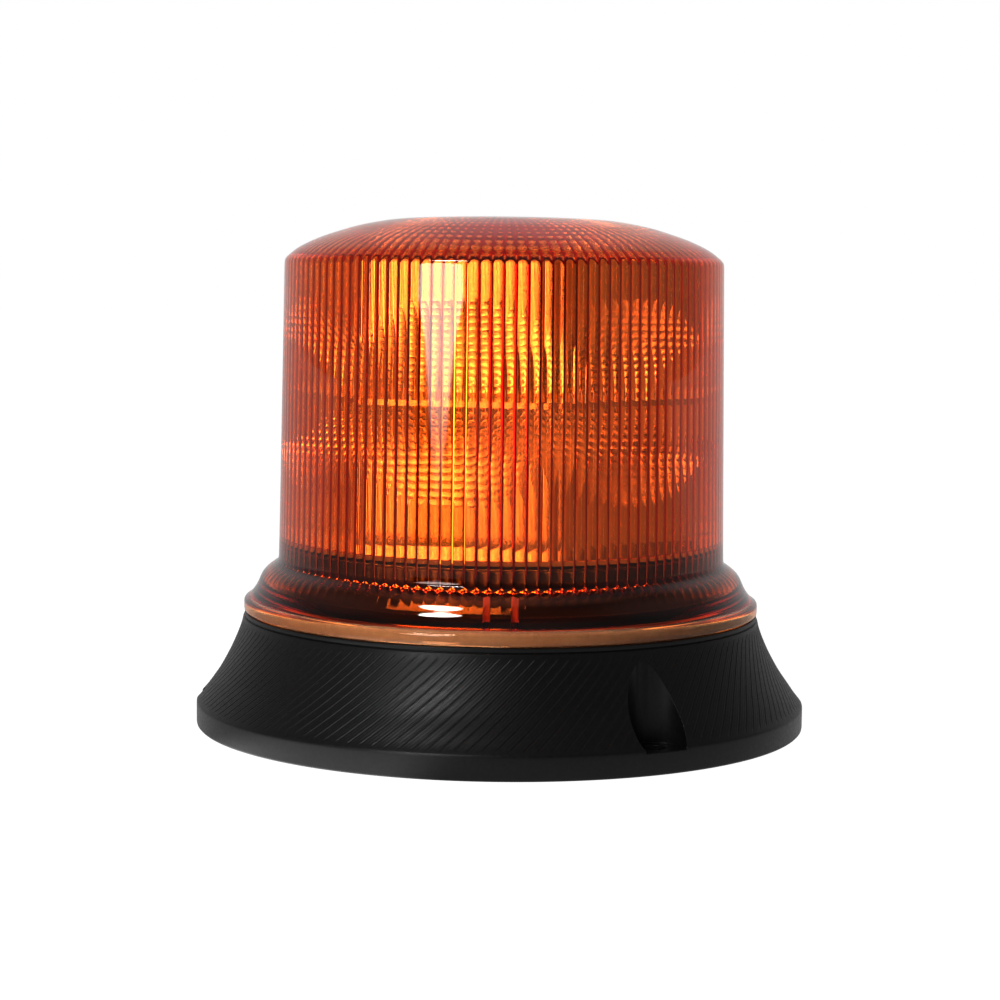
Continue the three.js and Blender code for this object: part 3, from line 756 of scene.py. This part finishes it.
def add_screw_posts(base):
    for bearing in COVER_SCREW_AT:
        join(base, post(*at(53.9, bearing), radius=3.1, bottom=9.5, top=50.5))
        cut(base, post(*at(COVER_SCREW_R, bearing), radius=1.5, bottom=7.5, top=24, cols=32))
    for bearing in (-90, 30, 150):
        x, y = at(42, bearing)
        join(base, post(x, y, radius=3.4, bottom=35.6, top=50.5))
        cut(base, post(x, y, radius=1.3, bottom=34, top=46, cols=32))
    for bearing in ENGINE_SCREW_AT:
        x, y = at(ENGINE_SCREW_R, ENGINE_AT + bearing)
        join(base, post(x, y, radius=3.6, bottom=41, top=50.5))
        cut(base, post(x, y, radius=1.55, bottom=42.5, top=60, cols=32))


def build_base():
    base = build_base_shell()
    add_bolt_bosses(base)
    cut(base, box(-3.4, 3.4, 70, 95, -1, 5.9))  # cable notch
    add_lug_hooks(base)
    add_screw_posts(base)
    # hole for the button
    return cut(base, post(*at(BUTTON_R, BUTTON_AT), radius=2.1, bottom=40, top=60))


finish(build_base(), "base", "base_housing", "black_moulding", angle=24.0)

# ---------------------------------------------------------------- reflectors
BLOCK_R = 47.5  # corner radius of the six-sided block
BLOCK_FOOT = 54.0
FOCAL = 8.4
BOWL_X = 16.0  # distance of each bowl's bottom from the axis
PILLOW = 2.0  # pitch of the square pillows
PILLOW_H = 0.16
PILLOW_STEPS = 5
REFLECTOR_WALL = 2.6


def bowl_block(step, pillow, offset=0.0):
    """Block along +X whose inner side is the paraboloid bowl, moved inwards by offset."""
    half, far = 32.0, 62.0
    n = int(round(2 * half / step)) + 1
    line = np.linspace(-half, half, n)
    Y, Z = np.meshgrid(line, line, indexing="ij")
    square = Y**2 + Z**2
    from_cell_middle = [np.abs((side / PILLOW) % 1.0 - 0.5) * 2 for side in (Y, Z)]
    bulge = sum(pillow * (1 - distance**2) for distance in from_cell_middle)
    X = BOWL_X + square / (4 * FOCAL)
    X = X + bulge * np.sqrt(1 + square / (4 * FOCAL * FOCAL)) * 0.8
    slope = np.sqrt(square) / (2 * FOCAL)
    X = X - offset * np.sqrt(1 + slope * slope)

    verts = list(zip(X.ravel(), Y.ravel(), Z.ravel()))
    bowl = np.arange(n * n).reshape(n, n)
    faces = [[bowl[i, j], bowl[i + 1, j], bowl[i + 1, j + 1], bowl[i, j + 1]]
             for i in range(n - 1) for j in range(n - 1)]
    edge = [(i, 0) for i in range(n)] + [(n - 1, j) for j in range(1, n)]
    edge += [(i, n - 1) for i in range(n - 2, -1, -1)] + [(0, j) for j in range(n - 2, 0, -1)]
    back = [len(verts) + k for k in range(len(edge))]
    verts += [(far, line[i], line[j]) for i, j in edge]
    for k in range(len(edge)):
        after = (k + 1) % len(edge)
        faces.append([bowl[edge[k]], bowl[edge[after]], back[after], back[k]][::-1])
    faces.append(back[::-1])
    return outward(link("tool", verts, faces))


def hexagon(radius):
    return [at(radius, bearing) for bearing in range(30, 360, 60)]


def build_reflectors():
    """Upper and lower halves, built about MID_Z with the first bowl on +X."""
    gap = 0.9
    top, foot, plate = BLOCK_TOP - MID_Z, BLOCK_FOOT - MID_Z, FOOT_PLATE_Z - MID_Z
    upper = prism(hexagon(BLOCK_R), gap, top, "reflector_upper_fine")
    lower = prism(hexagon(BLOCK_R), foot, -gap, "reflector_lower_fine")
    join(lower, turn([(0, plate), (55.7, plate), (56, plate + 0.3), (56, foot - 0.3),
                      (55.7, foot), (0, foot)]))
    bowl = bowl_block(step=PILLOW / PILLOW_STEPS, pillow=PILLOW_H)
    back = bowl_block(step=2.0, pillow=0.0, offset=REFLECTOR_WALL)
    # the hollows leave a wall behind the bowls and a core round the axis
    inside = hexagon(BLOCK_R - 2.8)
    upper_hollow = prism(inside, gap + REFLECTOR_WALL, top + 5)
    lower_hollow = prism(inside, foot - 5, -gap - REFLECTOR_WALL)
    cuts = ((upper, bowl), (lower, bowl), (upper_hollow, back), (lower_hollow, back))
    for k in range(6):
        for solid, block in cuts:
            cut(solid, move(copy_of(block), turned=60 * k))
    bpy.data.objects.remove(bowl)
    bpy.data.objects.remove(back)
    cut(upper_hollow, post(0, 0, radius=20, bottom=-5, top=8.6, cols=96))
    cut(lower_hollow, post(0, 0, radius=20, bottom=-60, top=5, cols=96))
    cut(upper, upper_hollow, post(0, 0, radius=10.2, bottom=-5, top=20, cols=64))
    cut(lower, lower_hollow, post(0, 0, radius=10.2, bottom=-60, top=5, cols=64),
        post(0, 0, radius=12.6, bottom=-3.6, top=5, cols=64),
        post(*at(BUTTON_R, BUTTON_AT - ENGINE_AT), radius=2.8, bottom=-60, top=foot + 2))
    for bearing in ENGINE_SCREW_AT:
        x, y = at(ENGINE_SCREW_R, bearing)
        cut(upper, post(x, y, radius=1.8, bottom=-5, top=20, cols=32))
        cut(lower, post(x, y, radius=1.8, bottom=-60, top=5, cols=32))
    return [move(half, z=MID_Z, turned=ENGINE_AT) for half in (upper, lower)]


for half, replaced in zip(build_reflectors(), ("reflector_upper", "reflector_lower")):
    finish(half, "base", replaced, "metallised_mirror", angle=11.0)

# ---------------------------------------------------------------- seals and bay cover
# turned profiles: (radius, height)
seal = turn([
    (71.2, SEAL_BOTTOM), (72.8, SEAL_BOTTOM), (73.1, SEAL_BOTTOM + 0.4), (73.1, SEAL_TOP - 0.5),
    (72.7, SEAL_TOP), (71.2, SEAL_TOP), (70.8, SEAL_TOP - 0.5), (70.8, SEAL_BOTTOM + 0.4),
], 240, "lens_seal_ring")
finish(seal, "lens", "lens_seal", "silicone_seal", angle=40.0)

gasket = turn([
    (74.4, 0), (84.5, 0), (84.7, 0.3), (84.7, 1.4), (84.5, 1.6), (74.4, 1.6), (74.2, 1.4),
    (74.2, 0.3),
], 240, "foot_gasket")
cut(gasket, box(-4.2, 4.2, 60, 95, -1, 3))
for bearing in BOLT_AT:
    cut(gasket, post(*at(BOLT_R, bearing), radius=3.6, bottom=-2, top=4))
finish(gasket, "base", "mounting_gasket", "gasket_rubber")

cover = turn([(0, 7), (59.2, 7), (59.9, 7.25), (60.2, 7.9), (60.2, 9.4), (0, 9.4)], 240,
             "bay_cover_plate")
cut(cover, post(0, CABLE_Y, radius=5, bottom=5, top=12, cols=64),
    post(*BREATHER_AT, radius=4.2, bottom=5, top=12, cols=64))
for bearing in COVER_SCREW_AT:
    cut(cover, post(*at(COVER_SCREW_R, bearing), radius=1.9, bottom=5, top=12, cols=32))
finish(cover, "base", "bay_cover", "cover_moulding")

# ---------------------------------------------------------------- screws
# (radius, height); cover screws point up, engine screws point down
COVER_SCREW = [
    (0, 4.7), (1.6, 4.72), (2.3, 4.95), (2.75, 5.35), (2.9, 5.9), (2.9, 6.9), (1.35, 6.9),
    (1.35, 19.4), (0.6, 20.4), (0, 20.4),
]
ENGINE_SCREW = [
    (0, 43), (1.0, 43), (1.45, 44), (1.45, 104.1), (2.9, 104.1), (2.9, 105.1),
    (2.75, 105.65), (2.3, 106.05), (1.6, 106.27), (0, 106.3),
]


def add_screws(piece, profile, radius, bearings, recess):
    """Pan-head screws with a crossed recess between the two recess heights."""
    long, wide = 1.5, 0.33  # half sizes of the recess arms
    for i, bearing in enumerate(bearings):
        screw = turn(profile, 48, f"{piece}_{i + 1}_fine")
        cut(screw, box(-long, long, -wide, wide, *recess), box(-wide, wide, -long, long, *recess))
        move(screw, *at(radius, bearing), turned=20)
        finish(screw, "base", f"{piece}_{i + 1}", "zinc_plated_steel")


add_screws("cover_screw", COVER_SCREW, COVER_SCREW_R, COVER_SCREW_AT, recess=(4, 5.9))
add_screws("engine_screw", ENGINE_SCREW, ENGINE_SCREW_R,
           [ENGINE_AT + bearing for bearing in ENGINE_SCREW_AT], recess=(105.1, 108))

# ---------------------------------------------------------------- LED packages
LED_HALF = 2.5
LED_DOME = [  # (radius, height)
    (0, 0.4), (1.9, 0.4), (1.9, 0.85), (1.86, 1.18), (1.71, 1.6), (1.47, 1.98), (1.14, 2.28),
    (0.75, 2.49), (0.35, 2.59), (0, 2.6),
]


def add_led(label, number, upwards):
    """Square substrate with a collared dome, facing up or down."""
    piece = f"led_{label}_{number}"
    led = box(-LED_HALF, LED_HALF, -LED_HALF, LED_HALF, 0.0, 0.8, f"{piece}_fine")
    join(led, turn(LED_DOME, 40))
    join(led, ring(inner=1.9, outer=2.2, bottom=0.7, top=0.95, cols=40))
    if not upwards:
        led.data.transform(Matrix.Rotation(math.pi, 4, "X"))
    low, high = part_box(piece)
    x, y = (mm(low.x) + mm(high.x)) / 2, (mm(low.y) + mm(high.y)) / 2
    move(led, x, y, mm(low.z if upwards else high.z), turned=ENGINE_AT + 60 * (number - 1))
    finish(led, "base", piece, "led_phosphor_dome", angle=35.0)


for label in ("top", "bottom"):
    for number in range(1, 7):
        add_led(label, number, upwards=label == "top")


# ---------------------------------------------------------------- cable and small parts
def cable_path(x, drop, end):
    """Down through the drop heights, round the bend and out along +Y to end."""
    path = [(x, CABLE_Y, z) for z in drop]
    for i in range(19):
        t = rad(5 * i)
        path.append((x, CABLE_Y + CABLE_BEND * (1 - math.cos(t)),
                     CABLE_Z + CABLE_BEND * (1 - math.sin(t))))
    start = CABLE_Y + CABLE_BEND
    path += [(x, start + (CABLE_END - start) * k / 8, CABLE_Z) for k in range(1, 8)]
    return path + [(x, end, CABLE_Z)]


cable = sweep("supply_cable_fine", cable_path(0, drop=(24, 18, 12), end=CABLE_END),
              radius=2.5, bore=2.0, cols=40)
finish(cable, "base", "supply_cable", "cable_jacket", angle=35.0)

for side, colour in ((1, "red"), (-1, "black")):
    tail = smooth([
        (side * 2.6, 23.2, 29.2), (side * 2.4, 29, 29.2), (side * 1.8, 32.2, 28.2),
        (side * 1.1, 33.8, 26.2), (side * 0.98, CABLE_Y, 24.6),
    ], 4)
    path = tail + cable_path(side * 0.98, drop=(18, 12), end=CABLE_END - 0.1)
    wire = sweep(f"supply_wire_{colour}_fine", path, radius=0.82, cols=20)
    finish(wire, "base", f"supply_wire_{colour}", f"{colour}_insulation",
           angle=35.0)

grommet = turn(smooth([(2.75, 8.0), (3.1, 6.9), (4.0, 6.2)], 4) + [
    (6.2, 6.2), (6.5, 6.35), (6.6, 6.65), (6.5, 6.9), (4.8, 6.9), (4.8, 9.5), (6.4, 9.5),
    (6.6, 9.7), (6.2, 10.6), (3.6, 11.4), (2.75, 11.4),
], 72, "cable_grommet_fine")
move(grommet, 0, CABLE_Y)
finish(grommet, "base", "cable_grommet", "grommet_rubber", angle=35.0)

plug = turn([
    (0, 6.0), (4.8, 6.0), (5.1, 6.15), (5.2, 6.4), (5.2, 6.9), (4.0, 6.9), (4.0, 10.2),
    (4.6, 10.4), (4.6, 11.4), (1.2, 11.4), (1.2, 9), (0, 9),
], 72, "breather_plug_fine")
for k in range(6):
    cut(plug, move(box(1.4, 4.2, -0.25, 0.25, 5, 6.35), turned=60 * k))
move(plug, *BREATHER_AT)
finish(plug, "base", "breather_plug", "cover_moulding")

button = turn([
    (0, 2.4), (1.75, 2.4), (1.75, 11.2), (2.5, 11.2), (2.7, 11.4), (2.7, 12.6), (2.5, 12.8),
    (1.75, 12.8), (1.75, 17.6), (1.55, 18.1), (1.1, 18.4), (0.5, 18.3), (0, 18.25),
], 48, "pattern_button_fine")
move(button, *at(BUTTON_R, BUTTON_AT), BUTTON_Z)
finish(button, "button", "pattern_button", "button_cap", angle=35.0)

# ---------------------------------------------------------------- studio brightness
# THROUGH is what is seen through the lens, MIRRORED what is mirrored on a surface.
# Floor and sky: front is the level everywhere, the rest is added to it.
FLOOR_THROUGH = dict(front=0.25, behind=0.36, close=1.35)
FLOOR_MIRRORED = dict(front=0.28, behind=0.35, close=0.45, card=1.6)
SKY_THROUGH = dict(front=0.05, back=0.85, sides=0.22, ceiling=1.05)
SKY_MIRRORED = dict(front=0.12, back=0.60, sides=0.20, ceiling=0.22)
KEY = dict(foot=0.6, middle=8.0)
UPPER = 24.0
SIDE_FILL = 1.2
KEY_THROUGH = dict(floor=7.5, lamp=13.5, above=15.0)  # by height
KEY_THROUGH_BASE = 0.25  # level over the whole key fill
KEY_BEARING = -31.0  # middle of the two softboxes, left of the camera


def floor_glow(g):
    x, y, _ = g.axes(g.first("NewGeometry"))
    away = g.hypot(x, y)
    behind = g.step(y, over=(-0.05, 0.3))
    close = g.step(away, over=(0.12, 0.24), to=(1.0, 0.0))
    level = FLOOR_THROUGH["front"]
    front = g.step(away, over=(0.5, 0.9), to=(level + 0.12, level))
    through = g.add(g.add(front, g.mul(behind, FLOOR_THROUGH["behind"])),
                    g.mul(close, FLOOR_THROUGH["close"]))
    # a card lying at the left
    bearing = g.bearing(x, y)
    card = g.mul(g.step(bearing, over=(-70.0, -50.0)),
                 g.step(bearing, over=(-22.0, -8.0), to=(FLOOR_MIRRORED["card"], 0.0)))
    mirrored = g.add(g.add(FLOOR_MIRRORED["front"], g.mul(behind, FLOOR_MIRRORED["behind"])),
                     g.mul(close, g.add(FLOOR_MIRRORED["close"], card)))
    unseen = g.pick(g.ray("Is Transmission Ray"), mirrored, through)
    return g.pick(g.ray("Is Camera Ray"), unseen, 1.0)


def add_floor():
    floor = link("floor", [(-4, -4, 0), (4, -4, 0), (4, 6, 0), (-4, 6, 0)], [[0, 1, 2, 3]])
    material, g = new_material("pale_floor")
    colour = g.ramp(g.noise(scale=3.0), dark=(0.10, 0.10, 0.10), light=(0.11, 0.11, 0.11))
    both = g.node("AddShader")
    g.plug(both.inputs[0], g.first("BsdfDiffuse", Color=colour))
    g.plug(both.inputs[1], g.first("Emission", Color=WHITE, Strength=floor_glow(g)))
    g.surface(both.outputs[0])
    material.cycles.emission_sampling = "NONE"
    floor.data.materials.append(material)


def add_world():
    """White behind, dark in front, with some light from the sides and the ceiling."""
    world = bpy.data.worlds.new("studio")
    scene.world = world
    g = Graph(world, "OutputWorld")
    world.cycles.sampling_method = "NONE"
    x, y, z = g.axes(g.coords("Generated"))
    back = g.step(y, over=(0.25, 0.8))
    sides = g.mul(g.step(g.math("ABSOLUTE", x), over=(0.5, 0.95)),
                  g.math("SUBTRACT", 1.0, back))
    ceiling = g.step(z, over=(0.7, 1.0))

    def sky(level):
        return g.add(g.add(level["front"], g.mul(back, level["back"])),
                     g.add(g.mul(sides, level["sides"]), g.mul(ceiling, level["ceiling"])))

    unseen = g.pick(g.ray("Is Transmission Ray"), sky(SKY_MIRRORED), sky(SKY_THROUGH))
    strength = g.pick(g.ray("Is Camera Ray"), unseen, 1.0)
    g.surface(g.first("Background", Color=WHITE, Strength=strength))


# ---------------------------------------------------------------- lights
def add_panel(name, bearings, distance, heights, glow, only=None):
    """Glowing panel bent round the lamp; glow(g) gives its strength.

    only="through" shows it to rays through the lens alone, only="mirrored" to all others.
    """
    n = 12
    start, end = bearings
    columns = [start + (end - start) * k / n for k in range(n + 1)]
    verts = [(distance * math.sin(rad(a)), -distance * math.cos(rad(a)), z)
             for z in heights for a in columns]
    panel = link(name, verts, [[k, k + 1, n + 2 + k, n + 1 + k] for k in range(n)])
    material, g = new_material(name + "_glow")
    shader = g.first("Emission", Color=WHITE, Strength=glow(g))
    if only:
        shown = g.ray("Is Transmission Ray")
        if only == "mirrored":
            shown = g.math("SUBTRACT", 1.0, shown)
        else:
            material.cycles.emission_sampling = "NONE"
        shader = g.mix(shown, g.first("BsdfTransparent"), shader)
    g.surface(shader)
    panel.data.materials.append(material)
    panel.visible_camera = False
    panel.visible_shadow = False


def bearing_and_height(g):
    x, y, z = g.axes(g.first("NewGeometry"))
    return g.bearing(x, y), z


def oval_axes(g, half_width, middle, half_height):
    """Place on the panel as shares of an oval's half sizes, and the height in metres."""
    bearing, z = bearing_and_height(g)
    across = g.mul(g.add(bearing, -KEY_BEARING), 1 / half_width)
    up = g.mul(g.math("SUBTRACT", z, middle), 1 / half_height)
    return across, up, z


def key_glow(g):
    """Egg-shaped: widest at the middle, narrow and dim at the foot."""
    across, up, z = oval_axes(g, half_width=12.2, middle=0.17, half_height=0.16)
    narrowing = g.math("MAXIMUM", g.mul(up, -0.87), 0.0)
    taper = g.add(g.math("ABSOLUTE", across), narrowing)
    inside = g.step(g.math("MAXIMUM", g.hypot(across, up), taper),
                    over=(0.85, 1.0), to=(1.0, 0.0))
    return g.mul(inside, g.step(z, over=(0.02, 0.12), to=(KEY["foot"], KEY["middle"])))


def upper_glow(g):
    across, up, _ = oval_axes(g, half_width=12.5, middle=0.70, half_height=0.13)
    reach = g.add(g.mul(across, across), g.mul(up, up))
    return g.step(reach, over=(0.7, 1.0), to=(UPPER, 0.0))


def key_fill_glow(g):
    """A narrow strip at the lamp's height, a wide field above it."""
    bearing, z = bearing_and_height(g)
    strip = g.mul(g.step(bearing, over=(-33.0, -29.0)),
                  g.step(g.mul(bearing, -1.0), over=(15.0, 19.0)))
    strip = g.mul(strip, g.step(z, over=(0.02, 0.09),
                                to=(KEY_THROUGH["floor"], KEY_THROUGH["lamp"])))
    field = g.mul(g.step(bearing, over=(-58.0, -50.0)),
                  g.step(g.mul(bearing, -1.0), over=(-6.0, 2.0),
                         to=(0.0, KEY_THROUGH["above"])))
    return g.add(KEY_THROUGH_BASE, g.pick(g.step(z, over=(0.16, 0.22)), strip, field))


add_floor()
add_world()
add_panel("key_softbox", bearings=(-44, -18), distance=0.8, heights=(0.001, 0.34), glow=key_glow)
add_panel("upper_softbox", bearings=(-45, -17), distance=0.8, heights=(0.56, 0.84),
          glow=upper_glow, only="mirrored")
add_panel("key_fill", bearings=(-64, 9), distance=0.5, heights=(0.001, 0.6),
          glow=key_fill_glow, only="through")
for name, start in (("left_fill", -150), ("right_fill", 112)):
    add_panel(name, bearings=(start, start + 38), distance=0.5, heights=(0.10, 0.32),
              glow=lambda g: SIDE_FILL, only="through")

# ---------------------------------------------------------------- camera and render
EYE = Vector((-0.0005, -0.7042, 0.1329))
AIM = Vector((-0.0005, 0.0, 0.0652))
ROLL = 0.65

camera = bpy.data.cameras.new("camera")
camera.sensor_width = 36.0
camera.lens = 87.02
camera.clip_start = 0.01
camera.clip_end = 50
camera_object = bpy.data.objects.new("camera", camera)
scene.collection.objects.link(camera_object)
look = (AIM - EYE).to_track_quat("-Z", "Y").to_matrix().to_4x4()
camera_object.matrix_world = Matrix.Translation(EYE) @ look @ Matrix.Rotation(rad(ROLL), 4, "Z")
scene.camera = camera_object

scene.view_settings.view_transform = "Standard"
scene.view_settings.look = "None"
scene.view_settings.exposure = 0.0
scene.view_settings.gamma = 0.76
scene.cycles.use_denoising = True
scene.cycles.max_bounces = 24
scene.cycles.transmission_bounces = 16
scene.cycles.glossy_bounces = 10
scene.cycles.diffuse_bounces = 3
scene.cycles.transparent_max_bounces = 24
scene.cycles.caustics_reflective = True
scene.cycles.caustics_refractive = True
scene.cycles.sample_clamp_indirect = 6.0
